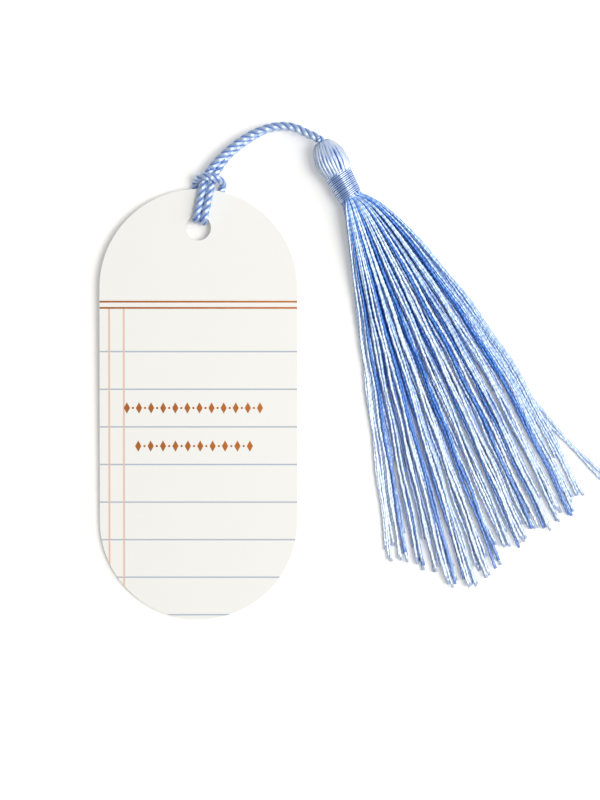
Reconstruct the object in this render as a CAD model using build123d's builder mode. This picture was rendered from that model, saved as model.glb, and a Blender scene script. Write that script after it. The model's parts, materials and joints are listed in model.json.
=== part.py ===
from build123d import *
import os
from math import atan2, cos, floor, pi, radians, sin, sqrt, tan

os.makedirs("parts", exist_ok=True)

# Card: three pasted plies with round ends
card_width = 50.8
card_length = 110.7
core_thickness = 0.8
sheet_thickness = 0.2
hole_diameter = 6.5
hole_inset = 9.95
rule_height = 80.2
rule_spacing = 1.6
rule_width = 0.48
rule_depth = 0.06

# Twisted cord and the lark's head that ties it through the hole
cord_diameter = 2.0
cord_sides = 8
cord_clearance = 0.12
leg_spacing = 2.16
hole_bend_radius = 1.3
hitch_lean = 12.5
fold_reach = 15.6
fold_shift = 0.8
fold_rise = 1.45
fold_spacing = 2.3
dip_level = 1.2
back_spread = 3.2
joint_gap = 0.25
end_chamfer = 45.0
floor_gap = 0.02

# Tassel: a head of folded threads, a bound neck and a fanned skirt
tassel_angle = 28.0
head_diameter = 8.8
head_length = 8.6
head_lobes = 24
lobe_depth = 0.18
lobe_crest = 0.3
knot_diameter = 4.4
knot_depth = 5.0
binding_length = 7.4
binding_top_diameter = 7.5
binding_bottom_diameter = 6.7
binding_thread = 0.44
binding_sides = 5
binding_turns = 8
fit_gap = 0.1
skirt_layers = 5
skirt_length = 102.0
skirt_spread = 32.5
skirt_aim = -4.9
skirt_thread = 0.3
thread_pitch = 0.4
root_thickness = 1.2
side_shortening = 0.06
tip_jitter = 1.8
settle_length = 38.0
settle_pitch = 0.32
tip_pitch = 0.17

# Places that follow from the sizes
card_thickness = core_thickness + 2 * sheet_thickness
cord_radius = cord_diameter / 2
hole_radius = hole_diameter / 2
hole_height = card_length - hole_inset
leg_side = leg_spacing / 2
back_level = -(cord_radius + cord_clearance)
front_level = card_thickness + cord_clearance + cord_radius
band_level = dip_level + cord_diameter + cord_clearance
through = sqrt((hole_radius - cord_radius - cord_clearance) ** 2 - leg_side**2)
lean = radians(hitch_lean)
rest_height = hole_height + (through + hole_bend_radius) * cos(lean)
tilt = atan2(cord_diameter + cord_clearance + floor_gap, rest_height)

# The card lies on its lower end and on the cord behind its top
card_plane = Plane(origin=(0, 0, 0), x_dir=(1, 0, 0), z_dir=(0, -sin(tilt), cos(tilt)))
hitch_plane = Plane(
    origin=card_plane.from_local_coords(Vector(0, hole_height, 0)),
    x_dir=card_plane.from_local_coords(Vector(cos(lean), -sin(lean), 0)),
    z_dir=card_plane.z_dir,
)

# The tassel lies on the table with its axis level, and swings where the cord enters its head
axis_angle = radians(tassel_angle)
axis_height = head_diameter / 2 + floor_gap
swing_point = Vector(31.1, 123.4, axis_height)
tassel_axis = Vector(sin(axis_angle), -cos(axis_angle), 0)
tassel_side = Vector(cos(axis_angle), sin(axis_angle), 0)
head_top = swing_point + tassel_axis * (cord_radius + joint_gap)
neck_bottom = head_length + binding_length


def tassel_plane(depth):
    """A plane square to the tassel's axis, at a depth below the top of its head."""
    return Plane(origin=head_top + tassel_axis * depth, x_dir=tassel_side, z_dir=tassel_axis)


def card_outline():
    """The card's outline and its hole, standing on the card's lower end."""
    with Locations((0, card_length / 2)):
        SlotOverall(card_length, card_width, rotation=90)
    with Locations((0, hole_height)):
        Circle(hole_radius, mode=Mode.SUBTRACT)


def corner_radii(points, share=0.45):
    """The largest arcs that the runs beside each corner of a cord's route allow."""
    radii = []
    for before, corner, after in zip(points, points[1:], points[2:]):
        arriving = corner - before
        leaving = after - corner
        half_turn = radians(arriving.get_angle(leaving)) / 2
        radii.append(share * min(arriving.length, leaving.length) / tan(half_turn))
    return radii


def report_tube(name, volume, length, section):
    """Prints a tube's volume beside its section times its length."""
    print(name, "length", round(length, 2), "volume", round(volume, 2))
    print("section times length", round(section.area * length, 2))


# Card plies
with BuildPart() as back_sheet:
    with BuildSketch(card_plane):
        card_outline()
    extrude(amount=sheet_thickness)

with BuildPart() as card_core:
    with BuildSketch(card_plane.offset(sheet_thickness)):
        card_outline()
    extrude(amount=core_thickness)

with BuildPart() as front_sheet:
    with BuildSketch(card_plane.offset(sheet_thickness + core_thickness)):
        card_outline()
    extrude(amount=sheet_thickness)
    with BuildSketch(card_plane.offset(card_thickness)):
        with Locations((0, rule_height), (0, rule_height + rule_spacing)):
            Rectangle(card_width, rule_width)
    extrude(amount=-rule_depth, mode=Mode.SUBTRACT)

# Lark's head: down the front, through the hole, up the back and across both legs
# Its points are sideways, outwards from the hole, and above the back of the card
hitch_points = [
    (fold_shift - fold_spacing / 2, fold_reach, fold_rise),
    (-leg_side, 13.1, dip_level),
    (-leg_side, 10.8, front_level),
    (-leg_side, through, front_level),
    (-leg_side, through, back_level),
    (-leg_side - 0.35, through + 2.7, back_level),
    (-back_spread, 8.3, back_level),
    (-back_spread - 0.4, 11.3, back_level),
    (-back_spread + 0.2, 12.9, band_level - 0.6),
    (-0.85, 13.7, band_level + 0.5),
    (1.0, 13.9, band_level + 0.5),
    (back_spread - 0.2, 13.3, band_level - 0.6),
    (back_spread + 0.65, 12.3, back_level),
    (back_spread + 0.2, 9.2, back_level),
    (leg_side + 0.35, through + 2.7, back_level),
    (leg_side, through, back_level),
    (leg_side, through, front_level),
    (leg_side, 11.2, front_level),
    (leg_side, 13.3, dip_level),
    (fold_shift + fold_spacing / 2, fold_reach, fold_rise),
]
hitch_route = [hitch_plane.from_local_coords(Vector(*point)) for point in hitch_points]
hitch_radii = corner_radii(hitch_route)
for corner in (2, 3, -3, -4):
    hitch_radii[corner] = hole_bend_radius
print("hitch radii", [round(radius, 2) for radius in hitch_radii])

# The tied cord stops short of the fold, where the free loop takes over
end_gap = cord_radius + joint_gap
first_run = hitch_route[1] - hitch_route[0]
last_run = hitch_route[-2] - hitch_route[-1]
upper_fold = hitch_route[0]
lower_fold = hitch_route[-1]
hitch_route[0] = upper_fold + first_run.normalized() * end_gap
hitch_route[-1] = lower_fold + last_run.normalized() * end_gap

with BuildPart() as hitch_cord:
    with BuildLine() as hitch_path:
        FilletPolyline(*hitch_route, radius=hitch_radii)
    with BuildSketch(Plane(origin=hitch_path.line @ 0, z_dir=hitch_path.line % 0)) as hitch_section:
        RegularPolygon(cord_radius, cord_sides)
    sweep(path=hitch_path.line)
report_tube("hitch_cord", hitch_cord.part.volume, hitch_path.wire().length, hitch_section.sketch)

# Free loop: two legs that leave the hitch side by side and reach the head one above the other
upper_route = [
    upper_fold,
    Vector(6.9, 120.4, 4.4),
    Vector(12.0, 123.8, 4.7),
    Vector(18.0, 126.5, 4.65),
    Vector(23.6, 126.9, 4.75),
    Vector(27.6, 125.0, 5.1),
    swing_point + Vector(0, 0, leg_side),
]
lower_route = [
    lower_fold,
    Vector(8.3, 119.2, 3.3),
    Vector(12.4, 123.2, 2.6),
    Vector(18.0, 126.5, 2.5),
    Vector(23.6, 126.9, 2.6),
    Vector(27.6, 125.0, 2.95),
    swing_point - Vector(0, 0, leg_side),
]


def loop_leg(name, route):
    """One leg of the free loop, with drawn-in ends at the fold and at the swing."""
    radii = corner_radii(route)
    end_reach = cord_radius * sin(radians(end_chamfer))
    with BuildPart() as leg:
        with BuildLine() as path:
            FilletPolyline(*route, radius=radii)
        with BuildSketch(Plane(origin=path.line @ 0, z_dir=path.line % 0)) as section:
            RegularPolygon(cord_radius, cord_sides)
        sweep(path=path.line)
        tube_volume = leg.part.volume
        for end in (path.line @ 0, path.line @ 1):
            extrude(leg.faces().sort_by_distance(end)[0], amount=end_reach, taper=end_chamfer / 2)
    print(name, "radii", [round(radius, 2) for radius in radii])
    report_tube(name, tube_volume, path.wire().length, section.sketch)
    return leg


upper_leg = loop_leg("upper_leg", upper_route)
lower_leg = loop_leg("lower_leg", lower_route)

# Knot that closes the loop inside the head, with the two ends that reach up to the opening
knot_ring = knot_diameter / 2 - cord_radius
knot_pitch = 0.75 * cord_diameter

with BuildPart() as loop_knot:
    for ring_depth in (knot_depth - knot_pitch / 2, knot_depth + knot_pitch / 2):
        ring_centre = tassel_plane(ring_depth).origin
        with BuildSketch(Plane(origin=ring_centre, x_dir=tassel_side, z_dir=(0, 0, 1))):
            with Locations((knot_ring, 0)):
                RegularPolygon(cord_radius, cord_sides)
        revolve(axis=Axis(ring_centre, tassel_axis))
    with Locations(tassel_plane(knot_depth).location):
        Cylinder(knot_ring, knot_pitch)
    with BuildSketch(tassel_plane(0)):
        with Locations((0, leg_side), (0, -leg_side)):
            RegularPolygon(cord_radius, cord_sides)
    extrude(amount=knot_depth)

# Head: folded threads gathered into a lobed bulb, drawn in to the neck under the binding
# Each station gives a share of the length, and shares of the radius sideways and upwards
head_stations = [
    (0.0, 0.4, 0.62),
    (0.1, 0.66, 0.76),
    (0.24, 0.87, 0.9),
    (0.42, 0.98, 0.98),
    (0.6, 1.0, 1.0),
    (0.8, 0.97, 0.97),
    (0.94, 0.91, 0.91),
    (1.0, 0.85, 0.85),
]
head_radius = head_diameter / 2
neck_top_radius = binding_top_diameter / 2 - binding_thread - fit_gap
neck_bottom_radius = binding_bottom_diameter / 2 - binding_thread - fit_gap
chamber_radius = knot_diameter / 2 + fit_gap
chamber_length = knot_pitch + cord_diameter + 2 * fit_gap


def lobed_outline(side_radius, up_radius):
    """A ring of shallow lobes, one for each fold of thread, with a valley and two crests each."""
    step = 2 * pi / head_lobes
    corners = []
    for lobe in range(head_lobes):
        for share, sunk in ((0.0, lobe_depth), (lobe_crest, 0.0), (1 - lobe_crest, 0.0)):
            turn = (lobe + share) * step
            corners.append(((side_radius - sunk) * cos(turn), (up_radius - sunk) * sin(turn)))
    Polyline(*corners, close=True)


with BuildPart() as tassel_head:
    for depth_share, side_share, up_share in head_stations:
        with BuildSketch(tassel_plane(depth_share * head_length)):
            with BuildLine():
                lobed_outline(side_share * head_radius, up_share * head_radius)
            make_face()
    loft(ruled=True)
    with BuildSketch(tassel_plane(head_length)):
        Circle(neck_top_radius)
    with BuildSketch(tassel_plane(neck_bottom)):
        Circle(neck_bottom_radius)
    loft()
    with BuildSketch(tassel_plane(0)):
        SlotOverall(leg_spacing + cord_diameter + 2 * fit_gap, cord_diameter + 2 * fit_gap, rotation=90)
    extrude(amount=knot_depth, mode=Mode.SUBTRACT)
    with Locations(tassel_plane(knot_depth).location):
        Cylinder(chamber_radius, chamber_length, mode=Mode.SUBTRACT)

# Binding: one thread wound down the neck
binding_top = head_length + fit_gap + binding_thread / 2
binding_drop = binding_length - 2 * fit_gap - binding_thread
half_turns = 2 * binding_turns


def binding_point(half_turn):
    """A point of the winding's centre line, and its direction there."""
    share = half_turn / half_turns
    top_radius = neck_top_radius + fit_gap + binding_thread / 2
    narrowing = neck_bottom_radius - neck_top_radius
    radius = top_radius + share * narrowing
    outward = tassel_side * cos(pi * half_turn) + Vector(0, 0, 1) * sin(pi * half_turn)
    onward = Vector(0, 0, 1) * cos(pi * half_turn) - tassel_side * sin(pi * half_turn)
    point = head_top + tassel_axis * (binding_top + share * binding_drop) + outward * radius
    slope = outward * (narrowing / half_turns) + tassel_axis * (binding_drop / half_turns)
    return point, (onward * (pi * radius) + slope).normalized()


def arc_joint(start, start_way, end, end_way):
    """Where two arcs of one biarc meet."""
    chord = end - start
    ways = start_way + end_way
    spread = 2 * (1 - start_way.dot(end_way))
    along = chord.dot(ways)
    reach = (sqrt(along**2 + spread * chord.dot(chord)) - along) / spread
    return (start + end + (start_way - end_way) * reach) * 0.5


def least_gap(path, diameter, turns, points_per_turn=48):
    """The least gap between a winding's neighbouring turns, measured on points."""
    count = points_per_turn * turns
    points = [path @ (i / count) for i in range(count + 1)]
    nearest = points_per_turn // 2
    furthest = points_per_turn + nearest
    gaps = [
        (points[i] - points[j]).length
        for i in range(count + 1)
        for j in range(i + nearest, min(i + furthest, count + 1))
    ]
    return min(gaps) - diameter


with BuildPart() as neck_binding:
    with BuildLine() as binding_path:
        start, start_way = binding_point(0)
        Line(start - start_way * binding_thread, start)
        for half_turn in range(1, half_turns + 1):
            end, end_way = binding_point(half_turn)
            joint = arc_joint(start, start_way, end, end_way)
            TangentArc(start, joint, tangent=start_way)
            TangentArc(end, joint, tangent=end_way * -1)
            start, start_way = end, end_way
        Line(start, start + start_way * binding_thread)
    with BuildSketch(Plane(origin=binding_path.line @ 0, z_dir=binding_path.line % 0)) as binding_section:
        RegularPolygon(binding_thread / 2, binding_sides)
    sweep(path=binding_path.line)
print("binding gap", round(least_gap(binding_path.line, binding_thread, binding_turns), 3))
report_tube("neck_binding", neck_binding.part.volume, binding_path.wire().length, binding_section.sketch)

# Skirt: threads that leave the neck in rows, fan out and settle on the table
root_radius = neck_bottom_radius
usable_radius = root_radius - skirt_thread * sqrt(0.5)
row_count = 2 * floor(usable_radius / thread_pitch) + 1
middle_row = (row_count - 1) / 2
golden = (sqrt(5) - 1) / 2
row_phase = 2.4
side_phase = 9.1


def row_columns(row):
    """Sideways places of one row's threads, shifted from row to row so that layers mesh."""
    height = (row - middle_row) * thread_pitch
    half_width = sqrt(usable_radius**2 - height**2)
    shift = (row * golden) % 1
    first = -floor((half_width + shift * thread_pitch) / thread_pitch)
    last = floor((half_width - shift * thread_pitch) / thread_pitch)
    return [(column + shift) * thread_pitch for column in range(first, last + 1)]


def skirt_strand(row, side):
    """One thread from the neck to its tip, square in section."""
    spread = side / usable_radius
    aim = radians(skirt_aim + skirt_spread / 2 * spread)
    jitter = tip_jitter * sin(row_phase * row + side_phase * side)
    reach = (skirt_length * (1 - side_shortening * spread**2) + jitter) * cos(aim)
    settled = skirt_thread / 2 + 2 * floor_gap - axis_height
    stations = [
        (root_thickness / 2, side, (row - middle_row) * thread_pitch),
        (settle_length, side + settle_length * tan(aim), settled + row * settle_pitch),
        (reach, side + reach * tan(aim), settled + row * tip_pitch),
    ]
    with BuildPart() as strand:
        for depth, across, height in stations:
            with BuildSketch(tassel_plane(neck_bottom + depth)):
                with Locations((across, height)):
                    Rectangle(skirt_thread, skirt_thread)
        loft(ruled=True)
    return strand.part


def skirt_layer(first_row, last_row):
    """The threads of neighbouring rows, held by their slice of the neck."""
    strands = [
        skirt_strand(row, side) for row in range(first_row, last_row + 1) for side in row_columns(row)
    ]
    low = (first_row - middle_row - 0.5) * thread_pitch
    high = (last_row - middle_row + 0.5) * thread_pitch
    with BuildPart() as layer:
        with BuildSketch(tassel_plane(neck_bottom)):
            Circle(root_radius)
            with Locations((0, (low + high) / 2)):
                Rectangle(2 * root_radius, high - low, mode=Mode.INTERSECT)
        extrude(amount=root_thickness)
        add(strands)
    print("threads", len(strands))
    return layer


layer_ends = [round(i * row_count / skirt_layers) for i in range(skirt_layers + 1)]
pieces = {
    "back_sheet": back_sheet,
    "card_core": card_core,
    "front_sheet": front_sheet,
    "hitch_cord": hitch_cord,
    "upper_leg": upper_leg,
    "lower_leg": lower_leg,
    "loop_knot": loop_knot,
    "tassel_head": tassel_head,
    "neck_binding": neck_binding,
}
for number, (first_row, end_row) in enumerate(zip(layer_ends, layer_ends[1:]), 1):
    pieces[f"skirt_layer_{number}"] = skirt_layer(first_row, end_row - 1)
for name, piece in pieces.items():
    piece.part.label = name
    export_step(piece.part, f"parts/{name}.step")

print("hole centre", hitch_plane.origin, "card normal", card_plane.z_dir)
print("fold axis", (upper_fold + lower_fold) * 0.5, hitch_plane.x_dir)
print("swing point", swing_point)
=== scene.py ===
import json
import math
import random

import bmesh
import bpy
import numpy as np
from mathutils import Matrix, Vector
from mathutils.kdtree import KDTree


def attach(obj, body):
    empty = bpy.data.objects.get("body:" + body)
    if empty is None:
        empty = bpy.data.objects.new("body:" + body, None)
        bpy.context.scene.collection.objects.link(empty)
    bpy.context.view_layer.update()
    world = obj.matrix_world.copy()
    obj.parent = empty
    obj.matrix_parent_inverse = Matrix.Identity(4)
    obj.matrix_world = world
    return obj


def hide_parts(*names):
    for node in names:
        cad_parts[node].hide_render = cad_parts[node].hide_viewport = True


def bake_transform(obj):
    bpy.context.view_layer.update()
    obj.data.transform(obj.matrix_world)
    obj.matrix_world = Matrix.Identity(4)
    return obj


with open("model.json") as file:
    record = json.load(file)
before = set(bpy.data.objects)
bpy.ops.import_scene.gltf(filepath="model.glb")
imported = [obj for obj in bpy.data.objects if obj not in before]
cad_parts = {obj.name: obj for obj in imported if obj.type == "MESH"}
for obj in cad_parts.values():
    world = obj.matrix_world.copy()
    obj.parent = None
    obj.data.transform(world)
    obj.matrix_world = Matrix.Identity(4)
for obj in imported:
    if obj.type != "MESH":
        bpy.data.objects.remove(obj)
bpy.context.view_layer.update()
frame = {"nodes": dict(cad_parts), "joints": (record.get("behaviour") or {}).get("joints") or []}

scene = bpy.context.scene
scene.view_settings.view_transform = "Standard"
joints = {joint["name"]: joint for joint in frame["joints"]}
up = Vector((0, 0, 1))

# Places that come from the frame
holeCentre = Vector(joints["hitch_swing"]["pos_m"])  # on the card's back face
cardNormal = Vector(joints["hitch_swing"]["axis"])
cardAcross = Vector((1, 0, 0))
cardAlong = cardNormal.cross(cardAcross)
cardMatrix = Matrix((cardAcross, cardAlong, cardNormal)).transposed().to_4x4()
hitchAcross = Vector(joints["loop_fold"]["axis"])
hitchAlong = cardNormal.cross(hitchAcross)
swingPoint = Vector(joints["tassel_swing"]["pos_m"])
print("frame read")

# Camera straight above, as the photograph was taken
view = {"centre": (0.02609, 0.05651), "height": 0.5735, "lens": 100, "sensor": 36}
cameraData = bpy.data.cameras.new("camera")
cameraData.lens = view["lens"]
cameraData.sensor_width = view["sensor"]
camera = bpy.data.objects.new("camera", cameraData)
camera.location = (*view["centre"], view["height"])
scene.collection.objects.link(camera)
scene.camera = camera
print("camera set")


# Small helpers for materials
def startMaterial(name):
    material = bpy.data.materials.new(name)
    material.use_nodes = True
    tree = material.node_tree
    return material, tree, tree.nodes["Principled BSDF"]


def addNode(tree, kind, sockets=None, **settings):
    node = tree.nodes.new(kind)
    for name, value in settings.items():
        setattr(node, name, value)
    for socket, value in (sockets or {}).items():
        if isinstance(value, bpy.types.NodeSocket):
            tree.links.new(value, node.inputs[socket])
        else:
            node.inputs[socket].default_value = value
    return node


def calculate(tree, operation, first, second=0.0):
    node = addNode(tree, "ShaderNodeMath", {0: first, 1: second}, operation=operation)
    return node.outputs[0]


def addNoise(tree, place, scale, detail):
    sockets = {"Vector": place, "Scale": scale, "Detail": detail}
    return addNode(tree, "ShaderNodeTexNoise", sockets).outputs[0]


def mapRange(tree, value, source, target):
    sockets = {"Value": value, "From Min": source[0], "From Max": source[1]}
    sockets.update({"To Min": target[0], "To Max": target[1]})
    return addNode(tree, "ShaderNodeMapRange", sockets).outputs[0]


def fadeBelow(tree, value, inner, outer):  # 1 under inner, 0 over outer
    return mapRange(tree, value, (inner, outer), (1.0, 0.0))


def mixColour(tree, factor, first, second):
    sockets = {0: factor, 6: first, 7: second}  # the colour sockets of a mix
    return addNode(tree, "ShaderNodeMix", sockets, data_type="RGBA").outputs[2]


def linear(red, green, blue):  # sRGB levels, 0 to 255, to a linear colour
    shares = [value / 255 for value in (red, green, blue)]
    return (*[((s + 0.055) / 1.055) ** 2.4 if s > 0.04 else s / 12.92 for s in shares], 1)


def giveBump(tree, shader, height, strength, distance):
    sockets = {"Height": height, "Strength": strength, "Distance": distance}
    bump = addNode(tree, "ShaderNodeBump", sockets)
    tree.links.new(bump.outputs[0], shader.inputs["Normal"])


# Silky thread: pale along the crest as painted highlight, deep in the grooves as painted shade,
# with long streaks
silk = {
    "filamentsAround": 3.0,
    "filamentTwist": 0.12,
    "streakDetail": 3.0,
    "streakRange": (0.3, 0.7),
    "streakLevels": (0.55, 1.0),
    "bumpStrength": 0.2,
    "bumpDepth": 0.00004,
    "roughness": 0.42,
    "anisotropic": 0.95,
    "glintTurn": 0.25,  # glints run across the filaments
    "tint": (0.86, 0.95, 1.0, 1),
    "ior": 5.0,
}


def silkThread(name, finish):
    material, tree, shader = startMaterial(name)
    place = addNode(tree, "ShaderNodeTexCoord").outputs["UV"]
    parts = addNode(tree, "ShaderNodeSeparateXYZ", {0: place}).outputs
    along = calculate(tree, "MULTIPLY", parts[0], finish["streaks"])
    twist = calculate(tree, "MULTIPLY", along, silk["filamentTwist"])
    turned = calculate(tree, "ADD", parts[1], twist)
    around = calculate(tree, "MULTIPLY", turned, silk["filamentsAround"])
    spread = addNode(tree, "ShaderNodeCombineXYZ", {0: along, 1: around}).outputs[0]
    noise = addNoise(tree, spread, 1.0, silk["streakDetail"])
    # painted highlight where the surface faces out, painted shade on the flanks, broken by random
    # streaks
    rise = addNode(tree, "ShaderNodeAttribute", attribute_name="crest").outputs["Fac"]
    paintedShadeShare = fadeBelow(tree, rise, *finish["crestRange"])
    streak = mapRange(tree, noise, silk["streakRange"], silk["streakLevels"])
    paintedLightAndStreaks = calculate(tree, "MULTIPLY", calculate(tree, "SUBTRACT", 1.0, paintedShadeShare), streak)
    colour = mixColour(tree, paintedLightAndStreaks, linear(*finish["paintedGrooveShade"]), linear(*finish["crest"]))
    # paler toward the thread's end, as painted light
    if "tip" in finish:
        paintedTipLightShare = mapRange(tree, parts[0], (finish["tipStart"], 1.0), (0.0, finish["tipLift"]))
        colour = mixColour(tree, paintedTipLightShare, colour, linear(*finish["tip"]))
    tree.links.new(colour, shader.inputs["Base Color"])
    giveBump(tree, shader, noise, silk["bumpStrength"], silk["bumpDepth"])
    lie = addNode(tree, "ShaderNodeTangent", direction_type="UV_MAP", uv_map="UVMap")
    tree.links.new(lie.outputs[0], shader.inputs["Tangent"])
    shader.inputs["Anisotropic"].default_value = finish.get("anisotropic", silk["anisotropic"])
    shader.inputs["Anisotropic Rotation"].default_value = silk["glintTurn"]
    shader.inputs["Roughness"].default_value = silk["roughness"]
    shader.inputs["Specular IOR Level"].default_value = finish["gloss"] / 2  # where no link is kept
    gloss = calculate(tree, "MULTIPLY", paintedLightAndStreaks, finish["gloss"])
    tree.links.new(gloss, shader.inputs["Specular IOR Level"])
    shader.inputs["Specular Tint"].default_value = silk["tint"]
    shader.inputs["IOR"].default_value = silk["ior"]
    return material


print("silk ready")


# Curves swept into strands
def readCurve(data):
    holder = bpy.data.objects.new(data.name, data)
    scene.collection.objects.link(holder)
    bpy.context.view_layer.update()
    shown = holder.evaluated_get(bpy.context.evaluated_depsgraph_get())
    mesh = bpy.data.meshes.new_from_object(shown)
    bpy.data.objects.remove(holder)
    bpy.data.curves.remove(data)
    return mesh


def readSpline(name, places, resolution=24, order=3):
    data = bpy.data.curves.new(name, "CURVE")
    data.dimensions = "3D"
    data.resolution_u = resolution
    spline = data.splines.new("NURBS")
    spline.points.add(len(places) - 1)
    for point, place in zip(spline.points, places):
        point.co = (*place, 1)
    spline.order_u = order  # set once the points are there
    spline.use_endpoint_u = True
    line = readCurve(data)
    return np.array([vertex.co[:] for vertex in line.vertices])


def lengthsAlong(points):
    steps = np.linalg.norm(np.diff(points, axis=0), axis=1)
    return np.concatenate(([0.0], np.cumsum(steps)))


def evenPoints(points, step):
    lengths = lengthsAlong(points)
    marks = np.linspace(0, lengths[-1], max(2, round(lengths[-1] / step)) + 1)
    return np.stack([np.interp(marks, lengths, points[:, axis]) for axis in range(3)], axis=1)


def carriedFrames(points, aside=(0.3, 0.2, 0.9)):  # aside is any way off the line
    tangents = np.gradient(points, axis=0)
    tangents /= np.linalg.norm(tangents, axis=1)[:, None]
    normal = np.cross(tangents[0], aside)
    normals = []
    for tangent in tangents:
        normal = normal - tangent * normal.dot(tangent)
        normal = normal / np.linalg.norm(normal)
        normals.append(normal)
    normals = np.array(normals)
    return normals, np.cross(tangents, normals)


def roundSection(name, width, height, corners):
    data = bpy.data.curves.new(name, "CURVE")
    data.dimensions = "2D"
    ring = data.splines.new("POLY")
    ring.points.add(corners - 1)
    for corner, point in enumerate(ring.points):
        turn = math.tau * corner / corners
        point.co = (width / 2 * math.cos(turn), height / 2 * math.sin(turn), 0, 1)
    ring.use_cyclic_u = True
    holder = bpy.data.objects.new(name, data)
    scene.collection.objects.link(holder)
    return holder


def sortFaces(shape, way=Vector((0.31, 0.17, 0.93))):  # an extrusion's own order varies by run
    shape.faces.sort(key=lambda face: face.calc_center_median().dot(way))


def addPiece(name, shape, mesh=None, materials=(), smooth=True):
    mesh = mesh or bpy.data.meshes.new(name)
    mesh.name = name
    shape.to_mesh(mesh)
    shape.free()
    for material in materials:
        mesh.materials.append(material)
    for polygon in mesh.polygons:
        polygon.use_smooth = smooth
    piece = bpy.data.objects.new(name, mesh)
    scene.collection.objects.link(piece)
    return piece


def sweepStrands(name, strands, section, materials, twist="MINIMUM", mergeGap=1e-7):
    data = bpy.data.curves.new(name, "CURVE")
    data.dimensions = "3D"
    data.twist_mode = twist
    data.bevel_mode = "OBJECT"
    data.bevel_object = section
    data.use_fill_caps = True
    for material in materials:
        data.materials.append(material)
    for path, tilt, thickness, number in strands:  # number is the material's
        spline = data.splines.new("POLY")
        spline.points.add(len(path) - 1)
        spline.points.foreach_set("co", np.c_[path, np.ones(len(path))].ravel())
        spline.points.foreach_set("tilt", np.broadcast_to(tilt, len(path)).copy())
        spline.points.foreach_set("radius", np.broadcast_to(thickness, len(path)).copy())
        spline.material_index = number
    mesh = readCurve(data)
    shape = bmesh.new()
    shape.from_mesh(mesh)
    bmesh.ops.remove_doubles(shape, verts=shape.verts, dist=mergeGap)  # closes the cut ends
    bmesh.ops.recalc_face_normals(shape, faces=shape.faces)
    return addPiece(name, shape, mesh)


def giveCrest(piece, outward):  # 1 where the surface faces outwards, 0 on the flanks: where painted highlight and painted shade go
    mesh = piece.data
    places = np.empty(len(mesh.vertices) * 3)
    normals = np.empty(len(mesh.vertices) * 3)
    mesh.vertices.foreach_get("co", places)
    mesh.vertices.foreach_get("normal", normals)
    away = outward(places.reshape(-1, 3))
    lengths = np.linalg.norm(away, axis=1)
    away = away / np.maximum(lengths, 1e-9)[:, None]  # no division by zero
    rise = np.abs(np.sum(normals.reshape(-1, 3) * away, axis=1))
    mesh.attributes.new("crest", "FLOAT", "POINT").data.foreach_set("value", rise)


def awayFromLine(line):
    finder = KDTree(len(line))
    for number, place in enumerate(line):
        finder.insert(place, number)
    finder.balance()
    return lambda places: np.array([place - line[finder.find(place)[1]] for place in places])


# Where the tassel lies
tassel = {
    "angle": math.radians(28),
    "topGap": 0.00125,
    "headLength": 0.0086,
    "bindingLength": 0.0074,
}
tasselAxis = Vector((math.sin(tassel["angle"]), -math.cos(tassel["angle"]), 0))
tasselSide = Vector((math.cos(tassel["angle"]), math.sin(tassel["angle"]), 0))
headTop = swingPoint + tasselAxis * tassel["topGap"]
neckEnd = headTop + tasselAxis * (tassel["headLength"] + tassel["bindingLength"])


def tasselPlace(depth, side, rise):  # from the top of the tassel's head
    return headTop + tasselAxis * depth + tasselSide * side + up * rise


def awayFromAxis(places):
    offset = places - np.array(headTop)
    axis = np.array(tasselAxis)
    return offset - np.outer(offset @ axis, axis)


# The cord: one rope from the tassel's head to the hole and back, tied as a lark's head
cord = {
    "diameter": 0.002,
    "plies": 3,
    "lead": 0.0063,
    "plyDiameter": 0.00112,
    "plyCentre": 0.00047,
    "plySides": 10,
    "step": 0.00022,
    "upperLength": 0.0323,
    "lowerLength": 0.0308,
    "bend": 0.0024,
    "insideDepths": (0.0018, 0.0042),
    # painted highlight on the plies' outer sides, painted shade in the grooves between them
    "finish": {
        "paintedGrooveShade": (52, 102, 194),
        "crest": (184, 214, 254),
        "crestRange": (0.64, 1.0),
        "streaks": 60,
        "gloss": 0.9,
    },
}
hitchRoute = [  # sideways, outwards from the hole, above the card's back
    (-0.00015, 0.0156, 0.0018),
    (-0.0010, 0.0131, 0.0012),
    (-0.0010, 0.0108, 0.00232),
    (-0.0010, 0.0052, 0.00236),
    (-0.0010, 0.001836, 0.00232),
    (-0.0010, 0.001836, -0.00108),
    (-0.00143, 0.004536, -0.00108),
    (-0.0032, 0.0083, -0.00108),
    (-0.0033, 0.0113, -0.00108),
    (-0.0026, 0.0127, 0.00278),
    (-0.00085, 0.0131, 0.00382),
    (0.0010, 0.0132, 0.00382),
    (0.0030, 0.0131, 0.00272),
    (0.00385, 0.0123, -0.00108),
    (0.0034, 0.0092, -0.00108),
    (0.00143, 0.004536, -0.00108),
    (0.0010, 0.001836, -0.00108),
    (0.0010, 0.001836, 0.00232),
    (0.0010, 0.0052, 0.00236),
    (0.0010, 0.0112, 0.00232),
    (0.0010, 0.0133, 0.0012),
    (0.00168, 0.0156, 0.0011),
]
upperRoute = [
    (0.0072, 0.1201, 0.0046),
    (0.0120, 0.1238, 0.0047),
    (0.0180, 0.1265, 0.00465),
    (0.0236, 0.1269, 0.00475),
    (0.0276, 0.1250, 0.0051),
    (0.0311, 0.1234, 0.0055),
]
lowerRoute = [
    (0.0078, 0.1196, 0.0028),
    (0.0124, 0.1232, 0.0026),
    (0.0180, 0.1265, 0.0025),
    (0.0236, 0.1269, 0.0026),
    (0.0276, 0.1250, 0.00295),
    (0.0311, 0.1234, 0.00334),
]
hitchPlaces = [
    holeCentre + hitchAcross * across + hitchAlong * out + cardNormal * above
    for across, out, above in hitchRoute
]


def insideHead(end):  # the cord's way on from a leg's end
    return [Vector(end) + tasselAxis * depth for depth in cord["insideDepths"]]


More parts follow.
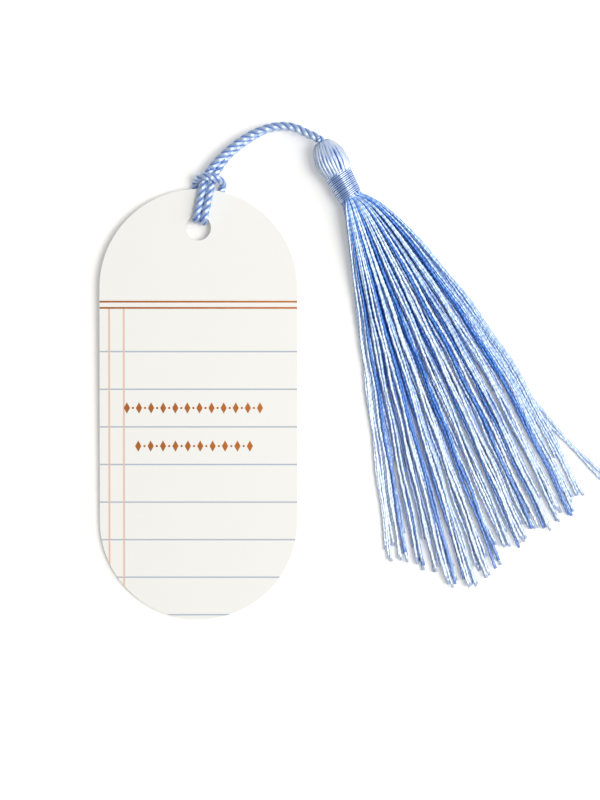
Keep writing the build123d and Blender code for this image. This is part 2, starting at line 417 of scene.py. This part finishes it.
ropeRoute = insideHead(upperRoute[-1])[::-1] + upperRoute[::-1] + hitchPlaces
ropeRoute += lowerRoute + insideHead(lowerRoute[-1])
ropeLine = evenPoints(readSpline("ropeLine", ropeRoute), cord["step"])
cordSilk = silkThread("cordSilk", cord["finish"])
plySection = roundSection("plySection", cord["plyDiameter"], cord["plyDiameter"], cord["plySides"])


def plyLines(line):  # the strands that twist round a line
    normals, sides = carriedFrames(line)
    paths = []
    for ply in range(cord["plies"]):
        turn = math.tau * (lengthsAlong(line) / cord["lead"] + ply / cord["plies"])
        offset = np.cos(turn)[:, None] * normals + np.sin(turn)[:, None] * sides
        paths.append(line + cord["plyCentre"] * offset)
    return paths


def cordPiece(name, paths, line):
    plies = [(path, 0.0, 1.0, 0) for path in paths]
    piece = sweepStrands(name, plies, plySection, [cordSilk])
    giveCrest(piece, awayFromLine(line))
    return piece


ropePlies = plyLines(ropeLine)


def ropeStretch(name, first, last):
    return cordPiece(name, [path[first:last + 1] for path in ropePlies], ropeLine)


def nearestMark(place):
    return int(np.argmin(np.linalg.norm(ropeLine - np.array(place), axis=1)))


upperSwing = nearestMark(upperRoute[-1])
lowerSwing = nearestMark(lowerRoute[-1])
upperFold = nearestMark(hitchPlaces[0])
lowerFold = nearestMark(hitchPlaces[-1])
hitchCord = ropeStretch("hitchCord", upperFold, lowerFold)
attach(hitchCord, "hitch")
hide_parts("hitch_cord")


def loopLeg(name, node, fold, swing):
    leg = ropeStretch(name, min(fold, swing), max(fold, swing))
    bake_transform(leg)
    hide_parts(node)


loopLeg("upperLeg", "upper_leg", upperFold, upperSwing)
loopLeg("lowerLeg", "lower_leg", lowerFold, lowerSwing)
cordEnds = {"upperCordEnd": (0, upperSwing), "lowerCordEnd": (lowerSwing, len(ropeLine) - 1)}
for name, (first, last) in cordEnds.items():
    cordEnd = ropeStretch(name, first, last)
    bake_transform(cordEnd)
    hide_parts("loop_knot")

# Knot inside the head, wound from the same cord
knot = {"depth": 0.005, "ring": 0.0012, "pitch": 0.0015, "turns": 2, "pointsPerTurn": 48}
knotPlaces = []
for turn in np.linspace(0, math.tau * knot["turns"], knot["pointsPerTurn"] * knot["turns"]):
    depth = knot["depth"] + knot["pitch"] * (turn / math.tau - knot["turns"] / 2)
    side, rise = knot["ring"] * math.cos(turn), knot["ring"] * math.sin(turn)
    knotPlaces.append(tasselPlace(depth, side, rise))
knotLine = np.array(knotPlaces)
loopKnot = cordPiece("loopKnot", plyLines(knotLine), knotLine)
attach(loopKnot, "tassel")
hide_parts("loop_knot")
bpy.data.objects.remove(plySection)
print("cord tied", round(lengthsAlong(ropeLine)[-1], 4))

# Tassel head: threads folded over the cord, laid over a blue filling
head = {
    "seed": 3,
    "threads": 27,
    "width": 0.00102,
    "height": 0.00088,
    "corners": 8,
    "step": 0.0003,
    "lead": 0.0075,
    "lean": 0.22,
    "leanSpread": 0.05,
    "wander": 0.2,
    "thickness": (0.85, 1.08),
    "stations": [  # depth, radius sideways, radius upwards, at the middle of a thread
        (0.0011, 0.00128, 0.00234),
        (0.0001, 0.00132, 0.00238),
        (0.0002, 0.00180, 0.00272),
        (0.0008, 0.00235, 0.00300),
        (0.0015, 0.00285, 0.00330),
        (0.0027, 0.00345, 0.00362),
        (0.0047, 0.00396, 0.00396),
        (0.0066, 0.00390, 0.00390),
        (0.0082, 0.00350, 0.00350),
        (0.0094, 0.00305, 0.00305),
    ],
    # painted highlight on the threads' outer sides, painted shade between them; pale or mid chosen
    # at random
    "crests": {"paleHeadThread": (244, 250, 255), "midHeadThread": (220, 234, 255)},
    "finish": {"paintedGrooveShade": (104, 146, 222), "crestRange": (0.3, 0.8), "streaks": 5, "gloss": 0.6},
    "coreGap": 0.00035,
    "coreEnd": (0.0140, 0.00262, 0.00262),
    "coreSides": 40,
    "coreWall": 0.0003,
    "fillingDeep": (76, 118, 196),
    "fillingPale": (112, 154, 222),
    "fillingScale": 3000.0,
    "fillingDetail": 2.0,
    "fillingRoughness": 0.7,
}
headSilks = [
    silkThread(name, {"crest": crest, **head["finish"]}) for name, crest in head["crests"].items()
]
random.seed(head["seed"])
headSection = roundSection("headSection", head["width"], head["height"], head["corners"])
headStrands = []
for number in range(head["threads"]):
    start = math.tau * (number + random.uniform(-1, 1) * head["wander"]) / head["threads"]
    lean = head["lean"] + random.uniform(-1, 1) * head["leanSpread"]
    places = []
    for depth, side, rise in head["stations"]:
        turn = start + lean * depth / tassel["headLength"]
        places.append(tasselPlace(depth, side * math.cos(turn), rise * math.sin(turn)))
    line = evenPoints(readSpline("headLine", places), head["step"])
    tilt = math.tau * lengthsAlong(line) / head["lead"] + random.uniform(0, math.tau)
    thickness = random.uniform(*head["thickness"])
    headStrands.append((line, tilt, thickness, random.choice(range(len(headSilks)))))
headThreads = sweepStrands("headThreads", headStrands, headSection, headSilks)
giveCrest(headThreads, awayFromAxis)
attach(headThreads, "tassel")
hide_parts("tassel_head")
bpy.data.objects.remove(headSection)


def fillingMaterial():
    material, tree, shader = startMaterial("headFilling")
    place = addNode(tree, "ShaderNodeTexCoord").outputs["Object"]
    noise = addNoise(tree, place, head["fillingScale"], head["fillingDetail"])
    colour = mixColour(tree, noise, linear(*head["fillingDeep"]), linear(*head["fillingPale"]))
    tree.links.new(colour, shader.inputs["Base Color"])
    shader.inputs["Roughness"].default_value = head["fillingRoughness"]
    return material


shape = bmesh.new()
rings = []
for depth, side, rise in head["stations"][1:] + [head["coreEnd"]]:
    made = bmesh.ops.create_circle(shape, segments=head["coreSides"], radius=1.0)
    for vertex in made["verts"]:
        across = vertex.co.x * (side - head["coreGap"])
        above = vertex.co.y * (rise - head["coreGap"])
        vertex.co = tasselPlace(depth + head["coreGap"], across, above)
    rings.append({edge for vertex in made["verts"] for edge in vertex.link_edges})
for first, second in zip(rings, rings[1:]):
    bmesh.ops.bridge_loops(shape, edges=list(first | second))
bmesh.ops.recalc_face_normals(shape, faces=shape.faces)
bmesh.ops.solidify(shape, geom=shape.faces[:], thickness=head["coreWall"])
bmesh.ops.recalc_face_normals(shape, faces=shape.faces)
sortFaces(shape)
headFilling = addPiece("headFilling", shape, materials=[fillingMaterial()])
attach(headFilling, "tassel")
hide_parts("tassel_head")
print("head laid")

# Binding: thread wound closely round the neck
binding = {
    "turns": 14,
    "pointsPerTurn": 40,
    "width": 0.00056,
    "height": 0.00024,
    "corners": 8,
    "topRadius": 0.00352,
    "bottomRadius": 0.00306,
    "top": -0.0001,
    "bottom": 0.0069,
    "slant": 0.0004,
    "wander": 0.00003,
    "slowRate": 3.7,  # radians in a turn
    "slowStart": 1.3,
    "quickRate": 0.9,  # waves in a turn
    # painted highlight on each turn's middle, painted shade in the lines between turns
    "finish": {
        "paintedGrooveShade": (40, 82, 166),
        "crest": (120, 164, 236),
        "crestRange": (0.82, 1.0),
        "streaks": 90,
        "gloss": 1.0,
        "anisotropic": 0.7,
    },
}
bindingCount = binding["turns"] * binding["pointsPerTurn"]
bindingDrop = binding["bottom"] - binding["top"]
bindingPath = []
for number in range(bindingCount + 1):
    share = number / bindingCount
    turn = math.tau * number / binding["pointsPerTurn"] + math.pi  # starts and ends on the left
    slow = math.sin(binding["slowRate"] * turn / math.tau + binding["slowStart"])
    quick = math.sin(binding["quickRate"] * turn)
    wobble = binding["wander"] * slow + binding["wander"] * quick
    depth = tassel["headLength"] + binding["top"] + share * bindingDrop + wobble
    depth -= binding["slant"] * math.cos(turn)
    radius = binding["topRadius"] + share * (binding["bottomRadius"] - binding["topRadius"])
    bindingPath.append((radius * math.cos(turn), radius * math.sin(turn), depth))
bindingStrand = (np.array(bindingPath), 0.0, 1.0, 0)
bindingSilk = silkThread("bindingThread", binding["finish"])
bindingSection = roundSection(
    "bindingSection", binding["height"], binding["width"], binding["corners"]
)
neckBinding = sweepStrands("neckBinding", [bindingStrand], bindingSection, [bindingSilk], "Z_UP")
tasselTurn = Matrix((tasselSide, up, tasselAxis)).transposed().to_4x4()
neckBinding.data.transform(Matrix.Translation(headTop) @ tasselTurn)
giveCrest(neckBinding, awayFromAxis)
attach(neckBinding, "tassel")
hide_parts("neck_binding")
bpy.data.objects.remove(bindingSection)
print("binding wound")

# Skirt: threads that leave the neck together, fan out and settle on the table
paintedLitPale, paintedHalfShadeMid, paintedShadeDeep, paintedShadeDeepEnded = range(4)  # the skirt's tints, in the order of its finishes: lit, half-shaded and shaded copies of one blue silk, as painted light and painted shade
skirt = {
    "seed": 23,
    "counts": [34, 56, 34, 29, 25],  # lowest layer first
    "middleLayer": 2,
    "spreads": [0.93, 0.92, 0.97, 1.0, 0.97],
    "spreadWander": 0.4,
    "clumps": 15,
    "clumpWander": 0.4,
    "pulls": [0.6, 0.1, 0.3, 0.45, 0.5],
    "pullSpread": (0.7, 1.1),
    "pullRange": (0.0, 0.008),
    "release": 0.3,
    "releaseRange": (0.05, 0.09),
    "shorter": [0.003, 0.042, 0.010, 0.0, 0.0],
    # painted shade on the lower layers, more painted light on the upper ones
    "tints": [
        (paintedLitPale, paintedLitPale, paintedHalfShadeMid),
        (paintedShadeDeep, paintedShadeDeep, paintedHalfShadeMid),
        (paintedShadeDeep, paintedHalfShadeMid),
        (paintedLitPale, paintedShadeDeepEnded, paintedLitPale, paintedHalfShadeMid),
        (paintedLitPale, paintedLitPale, paintedShadeDeepEnded, paintedLitPale, paintedHalfShadeMid),
    ],
    "paleEdge": 0.85,  # no thread in painted shade past it
    "paintedHalfShadeEdge": 0.62,  # on the right, few pale threads past it: the fan's right side in painted half shade
    "palePitch": 3,
    "width": 0.00096,
    "height": 0.00076,
    "corners": 6,
    "lead": 0.007,
    "pointsPerLead": 6,
    "rootRadius": 0.0027,
    "rootDepth": -0.0026,
    "rootLayers": 2.4,
    "rootRise": 0.4,
    "rootWander": 0.0002,
    "rootThickness": 0.7,
    "thickenRange": (0.0, 0.035),
    "thicknessSpread": (0.88, 1.1),
    "shift": 0.0007,
    "shiftLength": 0.002,
    "slopeMiddle": -0.108,
    "slopeSide": 0.277,
    "bow": 0.0052,
    "bowLength": 0.011,
    "bowPower": 1.15,
    "returnSlope": 0.19,
    "returnStart": 0.055,
    "returnSoftness": 0.008,
    "strays": (0.95, 0.98),
    "strayBow": 0.45,
    "strayStart": 0.078,
    "strayLength": 0.0950,
    "length": 0.1015,
    "leftShortening": 0.0092,
    "rightShortening": 0.0080,
    "tipJitter": 0.0016,
    "clumpJitter": 0.0028,
    "clumpRate": 40,
    "settleLength": 0.022,
    "settlePower": 1.6,
    "layerPitch": 0.00062,
    "tipPitch": 0.00040,
    "pitchRange": (0.03, 0.1),
    "edgeDrop": 0.75,
    "edgeRange": (0.55, 1.0),
    "lowest": 0.00054,
    "lowestWander": 0.0001,
    "wave": 0.00020,
    "waveLength": 0.021,
    "waveSpread": (0.7, 1.4),
    "waveRange": (0.004, 0.04),
    # painted highlight on the crests, painted shade in the grooves; the deep finishes are painted
    # shade, paler toward the tips
    "finishes": {
        "paintedLitSkirtThread": {
            "paintedGrooveShade": (78, 150, 248), "crest": (228, 243, 255), "crestRange": (0.3, 0.7),
            "streaks": 22, "gloss": 0.6, "tip": (228, 236, 252), "tipStart": 0.0, "tipLift": 0.6,
        },
        "paintedHalfShadeSkirtThread": {
            "paintedGrooveShade": (64, 142, 242), "crest": (164, 208, 255), "crestRange": (0.3, 0.75),
            "streaks": 22, "gloss": 0.45, "tip": (228, 236, 252), "tipStart": 0.0, "tipLift": 0.6,
        },
        "paintedShadeSkirtThread": {
            "paintedGrooveShade": (14, 100, 208), "crest": (76, 154, 240), "crestRange": (0.3, 0.95),
            "streaks": 22, "gloss": 0.16, "tip": (212, 228, 254), "tipStart": 0.4, "tipLift": 0.85,
        },
        "paintedShadeEndedSkirtThread": {
            "paintedGrooveShade": (14, 100, 208), "crest": (76, 154, 240), "crestRange": (0.3, 0.95),
            "streaks": 22, "gloss": 0.16, "tip": (212, 228, 254), "tipStart": 0.6, "tipLift": 0.3,
        },
    },
}
skirtSilks = [silkThread(name, finish) for name, finish in skirt["finishes"].items()]
skirtSection = roundSection("skirtSection", skirt["width"], skirt["height"], skirt["corners"])


def smoothShare(value, first, last):
    share = np.clip((value - first) / (last - first), 0, 1)
    return share * share * (3 - 2 * share)


def straightUp(places):
    return np.broadcast_to(np.array(up), places.shape)


def threadReach(layer, spread, clump):
    shortening = skirt["leftShortening"] if spread < 0 else skirt["rightShortening"]
    reach = skirt["length"] - shortening * spread**2 + random.uniform(-1, 1) * skirt["tipJitter"]
    together = skirt["clumpJitter"] * math.sin(skirt["clumpRate"] * clump)
    return reach + (together - skirt["shorter"][layer] * random.random())


def threadSide(layer, spread, clump, free, stray):
    gathered = skirt["pulls"][layer] * random.uniform(*skirt["pullSpread"])
    gathered = gathered * smoothShare(free, *skirt["pullRange"])
    gathered = gathered * (1 - skirt["release"] * smoothShare(free, *skirt["releaseRange"]))
    place = spread + gathered * (clump - spread)
    fromMiddle = (layer - skirt["middleLayer"]) / skirt["rootLayers"]
    rootSide = skirt["rootRadius"] * spread * math.sqrt(1 - fromMiddle**2)
    shifted = skirt["rootRadius"] * place - rootSide + skirt["shift"]
    side = rootSide + shifted * (1 - np.exp(-free / skirt["shiftLength"]))
    side = side + free * (skirt["slopeMiddle"] + skirt["slopeSide"] * place)
    rightward = skirt["strayBow"] if stray else max(spread, 0) ** skirt["bowPower"]
    side = side + skirt["bow"] * rightward * (1 - np.exp(-free / skirt["bowLength"]))
    turnStart = skirt["strayStart"] if stray else skirt["returnStart"]
    past = np.logaddexp(0, (free - turnStart) / skirt["returnSoftness"]) * skirt["returnSoftness"]
    side = side + skirt["returnSlope"] * past * (1.0 if stray else -rightward)
    phase = random.uniform(0, math.tau)
    swing = skirt["wave"] * smoothShare(free, *skirt["waveRange"])
    waves = math.tau * free / skirt["waveLength"] / random.uniform(*skirt["waveSpread"])
    return side + swing * np.sin(waves + phase)


def threadHeight(layer, spread, free):
    rootRise = (layer - skirt["middleLayer"]) * skirt["rootRadius"] * skirt["rootRise"]
    rootHeight = neckEnd.z + rootRise + random.uniform(-1, 1) * skirt["rootWander"]
    closer = (skirt["tipPitch"] - skirt["layerPitch"]) * smoothShare(free, *skirt["pitchRange"])
    edge = skirt["edgeDrop"] * smoothShare(abs(spread), *skirt["edgeRange"])
    pitch = (skirt["layerPitch"] + closer) * (1 - edge)  # the edges lie on the table
    table = skirt["lowest"] + layer * pitch + random.uniform(0, skirt["lowestWander"])
    fall = np.exp(-((free / skirt["settleLength"]) ** skirt["settlePower"]))
    return table + (rootHeight - table) * fall


def skirtThread(layer, spread, clump, tint, stray=False):
    reach = threadReach(layer, spread, clump)
    reach = skirt["strayLength"] if stray else reach
    slope = skirt["slopeMiddle"] + skirt["slopeSide"] * spread
    deepest = reach / math.sqrt(1 + slope**2)
    count = round(reach / skirt["lead"] * skirt["pointsPerLead"])
    depth = np.linspace(skirt["rootDepth"], deepest, count)
    free = np.maximum(depth, 0)
    side = threadSide(layer, spread, clump, free, stray)
    start = np.array(neckEnd.to_2d().to_3d())
    path = start + depth[:, None] * np.array(tasselAxis) + side[:, None] * np.array(tasselSide)
    path[:, 2] = threadHeight(layer, spread, free)
    tilt = math.tau * lengthsAlong(path) / skirt["lead"] + random.uniform(0, math.tau)
    thicker = (1 - skirt["rootThickness"]) * smoothShare(free, *skirt["thickenRange"])
    thickness = (skirt["rootThickness"] + thicker) * random.uniform(*skirt["thicknessSpread"])
    return path, tilt, thickness, tint


def threadTint(layer, number, spread):
    tints = skirt["tints"][layer]
    tint = tints[number % len(tints)]
    if tint in (paintedShadeDeep, paintedShadeDeepEnded) and abs(spread) > skirt["paleEdge"]:
        tint = paintedLitPale
    if tint == paintedLitPale and spread > skirt["paintedHalfShadeEdge"] and number % skirt["palePitch"]:
        tint = paintedHalfShadeMid
    return tint


random.seed(skirt["seed"])
clumpWander = skirt["clumpWander"]
clumps = [2 * number / (skirt["clumps"] - 1) - 1 for number in range(skirt["clumps"])]
for number in range(1, skirt["clumps"] - 1):
    clumps[number] += random.uniform(-clumpWander, clumpWander) / skirt["clumps"]
for layer, (count, widest) in enumerate(zip(skirt["counts"], skirt["spreads"])):
    threads = []
    for number in range(count):
        spread = widest * (2 * number / (count - 1) - 1)
        if 0 < number < count - 1:
            spread += random.uniform(-skirt["spreadWander"], skirt["spreadWander"]) / count
        clump = min(clumps, key=lambda centre: abs(centre - spread))
        tint = threadTint(layer, number, spread)
        threads.append(skirtThread(layer, spread, clump, tint))
    if layer == skirt["middleLayer"]:
        for spread in skirt["strays"]:
            threads.append(skirtThread(layer, spread, spread, paintedHalfShadeMid, stray=True))
    skirtLayer = sweepStrands(f"skirtThreads{layer + 1}", threads, skirtSection, skirtSilks)
    # painted highlight on the threads' tops and undersides, painted shade on their flanks
    giveCrest(skirtLayer, straightUp)
    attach(skirtLayer, "tassel")
    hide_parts(f"skirt_layer_{layer + 1}")
    faceCount = len(skirtLayer.data.polygons)
    print("skirt layer", layer + 1, "threads", len(threads), "faces", faceCount)
bpy.data.objects.remove(skirtSection)

# Card: paper on both faces of a pale board, printed on the front
card = {
    "paper": (246, 245, 240),
    "paperShade": (241, 240, 234),
    "fibreScale": 2600.0,
    "fibreDetail": 4.0,
    "cloudScale": 160.0,
    "cloudDetail": 2.0,
    "shadeShare": 0.35,
    "paperBump": (0.12, 0.00003),  # strength, depth
    "paperRoughness": 0.72,
    "paperGloss": 0.25,
    "board": (236, 233, 224),
    "boardShade": (222, 217, 205),
    "boardStretch": (300.0, 300.0, 9000.0),
    "boardDetail": 4.0,
    "boardBump": (0.3, 0.00004),
    "boardRoughness": 0.85,
    "boardGloss": 0.2,
    "ruleInk": (174, 184, 198),
    "ruleFirst": 0.00122,
    "rulePitch": 0.009675,
    "ruleWidth": 0.00034,
    "ruleTop": 0.0750,
    "marginInk": (231, 192, 171),
    "margins": (-0.02295, -0.01918),
    "marginWidth": 0.00044,
    "marginTop": 0.0802,
    "inkEdge": 0.00007,
}


def inkedLine(tree, away, width, along, top):  # ink near a line, up to a height
    edge = card["inkEdge"]
    ink = fadeBelow(tree, away, width / 2 - edge, width / 2 + edge)
    return calculate(tree, "MULTIPLY", ink, calculate(tree, "LESS_THAN", along, top))


def printRules(tree, place, colour):
    parts = addNode(tree, "ShaderNodeSeparateXYZ", {0: place}).outputs
    across, along = parts[0], parts[1]
    aboveFirst = calculate(tree, "SUBTRACT", along, card["ruleFirst"])
    steps = calculate(tree, "DIVIDE", aboveFirst, card["rulePitch"])
    share = calculate(tree, "FRACT", calculate(tree, "ADD", steps, 0.5))  # 0.5 on a rule
    offset = calculate(tree, "ABSOLUTE", calculate(tree, "SUBTRACT", share, 0.5))
    away = calculate(tree, "MULTIPLY", offset, card["rulePitch"])
    ruled = inkedLine(tree, away, card["ruleWidth"], along, card["ruleTop"])
    offsets = [calculate(tree, "SUBTRACT", across, margin) for margin in card["margins"]]
    distances = [calculate(tree, "ABSOLUTE", offset) for offset in offsets]
    nearest = calculate(tree, "MINIMUM", *distances)
    lined = inkedLine(tree, nearest, card["marginWidth"], along, card["marginTop"])
    colour = mixColour(tree, ruled, colour, linear(*card["ruleInk"]))
    return mixColour(tree, lined, colour, linear(*card["marginInk"]))


def paperMaterial(name, printed):
    material, tree, shader = startMaterial(name)
    place = addNode(tree, "ShaderNodeTexCoord").outputs["Object"]
    fibres = addNoise(tree, place, card["fibreScale"], card["fibreDetail"])
    clouds = addNoise(tree, place, card["cloudScale"], card["cloudDetail"])
    mottle = calculate(tree, "ADD", fibres, clouds)
    shade = calculate(tree, "MULTIPLY", mottle, card["shadeShare"])
    colour = mixColour(tree, shade, linear(*card["paper"]), linear(*card["paperShade"]))
    if printed:
        colour = printRules(tree, place, colour)
    tree.links.new(colour, shader.inputs["Base Color"])
    giveBump(tree, shader, fibres, *card["paperBump"])
    shader.inputs["Roughness"].default_value = card["paperRoughness"]
    shader.inputs["Specular IOR Level"].default_value = card["paperGloss"]
    return material


def boardMaterial():
    material, tree, shader = startMaterial("paleBoard")
    place = addNode(tree, "ShaderNodeTexCoord").outputs["Object"]
    stretch = {"Vector": place, "Scale": card["boardStretch"]}
    stretched = addNode(tree, "ShaderNodeMapping", stretch).outputs[0]
    plies = addNoise(tree, stretched, 1.0, card["boardDetail"])
    colour = mixColour(tree, plies, linear(*card["board"]), linear(*card["boardShade"]))
    tree.links.new(colour, shader.inputs["Base Color"])
    giveBump(tree, shader, plies, *card["boardBump"])
    shader.inputs["Roughness"].default_value = card["boardRoughness"]
    shader.inputs["Specular IOR Level"].default_value = card["boardGloss"]
    return material


cardFinishes = {
    "front_sheet": paperMaterial("ruledPaper", True),
    "card_core": boardMaterial(),
    "back_sheet": paperMaterial("plainPaper", False),
}
for node, material in cardFinishes.items():
    sheet = frame["nodes"][node]
    sheet.data.materials.clear()
    sheet.data.materials.append(material)
print("card printed")

# Pressed foil: two rules that lie in the card's grooves, and two rows of lozenges and dots
foil = {
    "colour": (206, 126, 58),
    "shade": (168, 96, 42),
    "grainScale": 1800.0,
    "grainDetail": 3.0,
    "roughness": (0.25, 0.45),
    "bump": (0.15, 0.00002),  # strength, depth
    "metallic": 0.85,
    "ruleHeights": (0.0802, 0.0818),
    "ruleLength": 0.0507,
    "ruleWidth": 0.00046,
    "cardThickness": 0.0012,
    "grooveDepth": 0.00006,
    "thickness": 0.00005,
    "rows": (  # height, left, right, lozenges
        (0.0545, -0.0192, 0.0166, 12),
        (0.0447, -0.0163, 0.0140, 10),
    ),
    "lozenge": (0.00080, 0.00145),  # half its width, half its height
    "lozengeCorners": 4,
    "dot": (0.00030, 0.00030),
    "dotCorners": 12,
    "pressed": 0.000012,
}


def foilMaterial():
    material, tree, shader = startMaterial("copperFoil")
    place = addNode(tree, "ShaderNodeTexCoord").outputs["Object"]
    grain = addNoise(tree, place, foil["grainScale"], foil["grainDetail"])
    colour = mixColour(tree, grain, linear(*foil["colour"]), linear(*foil["shade"]))
    tree.links.new(colour, shader.inputs["Base Color"])
    rough = mapRange(tree, grain, (0.0, 1.0), foil["roughness"])
    tree.links.new(rough, shader.inputs["Roughness"])
    giveBump(tree, shader, grain, *foil["bump"])
    shader.inputs["Metallic"].default_value = foil["metallic"]
    return material


shape = bmesh.new()
for height in foil["ruleHeights"]:
    middle = foil["cardThickness"] - foil["grooveDepth"] + foil["thickness"] / 2
    place = cardMatrix @ Matrix.Translation((0, height, middle))
    size = Matrix.Diagonal((foil["ruleLength"], foil["ruleWidth"], foil["thickness"], 1))
    bmesh.ops.create_cube(shape, size=1.0, matrix=place @ size)
foilMetal = foilMaterial()
foilRules = addPiece("foilRules", shape, materials=[foilMetal], smooth=False)
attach(foilRules, "card")


def foilMark(shape, across, height, halfSize, corners):
    place = Matrix.Translation((across, height, foil["cardThickness"]))
    size = Matrix.Diagonal((*halfSize, 1, 1))
    made = bmesh.ops.create_circle(
        shape, cap_ends=True, segments=corners, radius=1.0, matrix=cardMatrix @ place @ size
    )
    faces = list({face for vertex in made["verts"] for face in vertex.link_faces})
    raised = bmesh.ops.extrude_face_region(shape, geom=faces)
    moved = [part for part in raised["geom"] if isinstance(part, bmesh.types.BMVert)]
    bmesh.ops.translate(shape, verts=moved, vec=cardNormal * foil["pressed"])


shape = bmesh.new()
for height, left, right, count in foil["rows"]:
    pitch = (right - left - 2 * foil["lozenge"][0]) / (count - 1)
    for number in range(count):
        across = left + foil["lozenge"][0] + number * pitch
        foilMark(shape, across, height, foil["lozenge"], foil["lozengeCorners"])
        if number < count - 1:
            foilMark(shape, across + pitch / 2, height, foil["dot"], foil["dotCorners"])
bmesh.ops.recalc_face_normals(shape, faces=shape.faces)
sortFaces(shape)
foilOrnament = addPiece("foilOrnament", shape, materials=[foilMetal], smooth=False)
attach(foilOrnament, "card")
print("foil pressed")

# Stage: white table, two soft lights from the right, even light all round
stage = {
    "floor": 4.0,
    "table": (1.0, 0.985, 0.955, 1),
    "tableGlow": 0.17,
    "lamps": {  # degrees round from the right, degrees up, metres away, metres wide, watts
        "keyLight": (-5, 68, 1.1, 0.4, 5.4),
        "sideLight": (12, 40, 1.0, 0.7, 3.8),
    },
    "lampTarget": (0.05, 0.06, 0),
    "skyHeights": (0.30, 0.50),  # at the horizon, overhead
    "skySides": (0.65, 1.35),  # on the left, on the right
}


def tableMaterial():
    material, tree, shader = startMaterial("whiteTable")
    shader.inputs["Base Color"].default_value = stage["table"]
    shader.inputs["Roughness"].default_value = 1.0
    shader.inputs["Specular IOR Level"].default_value = 0.0
    rays = addNode(tree, "ShaderNodeLightPath").outputs
    seen = calculate(tree, "MAXIMUM", rays["Is Camera Ray"], rays["Is Glossy Ray"])
    seen = calculate(tree, "MAXIMUM", seen, rays["Is Transmission Ray"])
    glow = calculate(tree, "MULTIPLY", seen, stage["tableGlow"])  # lifts near-white to white
    tree.links.new(glow, shader.inputs["Emission Strength"])
    shader.inputs["Emission Color"].default_value = stage["table"]
    return material


shape = bmesh.new()
bmesh.ops.create_grid(shape, x_segments=1, y_segments=1, size=stage["floor"])
floor = addPiece("table", shape, materials=[tableMaterial()])

for name, (turn, rise, distance, size, power) in stage["lamps"].items():
    lampData = bpy.data.lights.new(name, "AREA")
    lampData.energy = power
    lampData.size = size
    lamp = bpy.data.objects.new(name, lampData)
    lifted = Matrix.Rotation(math.radians(-rise), 3, "Y")
    way = Matrix.Rotation(math.radians(turn), 3, "Z") @ lifted @ Vector((1, 0, 0))
    lamp.location = Vector(stage["lampTarget"]) + way * distance
    lamp.rotation_euler = way.to_track_quat("Z", "Y").to_euler()
    lamp.visible_camera = False
    scene.collection.objects.link(lamp)

world = bpy.data.worlds.new("studio")
world.use_nodes = True
scene.world = world
worldTree = world.node_tree
skyPlace = addNode(worldTree, "ShaderNodeTexCoord").outputs["Generated"]
skyWay = addNode(worldTree, "ShaderNodeSeparateXYZ", {0: skyPlace}).outputs
skyLevel = mapRange(worldTree, skyWay[2], (0.0, 1.0), stage["skyHeights"])
skySide = mapRange(worldTree, skyWay[0], (-1.0, 1.0), stage["skySides"])
sky = worldTree.nodes["Background"]
sky.inputs["Color"].default_value = (1, 1, 1, 1)
worldTree.links.new(calculate(worldTree, "MULTIPLY", skyLevel, skySide), sky.inputs["Strength"])
print("stage lit")
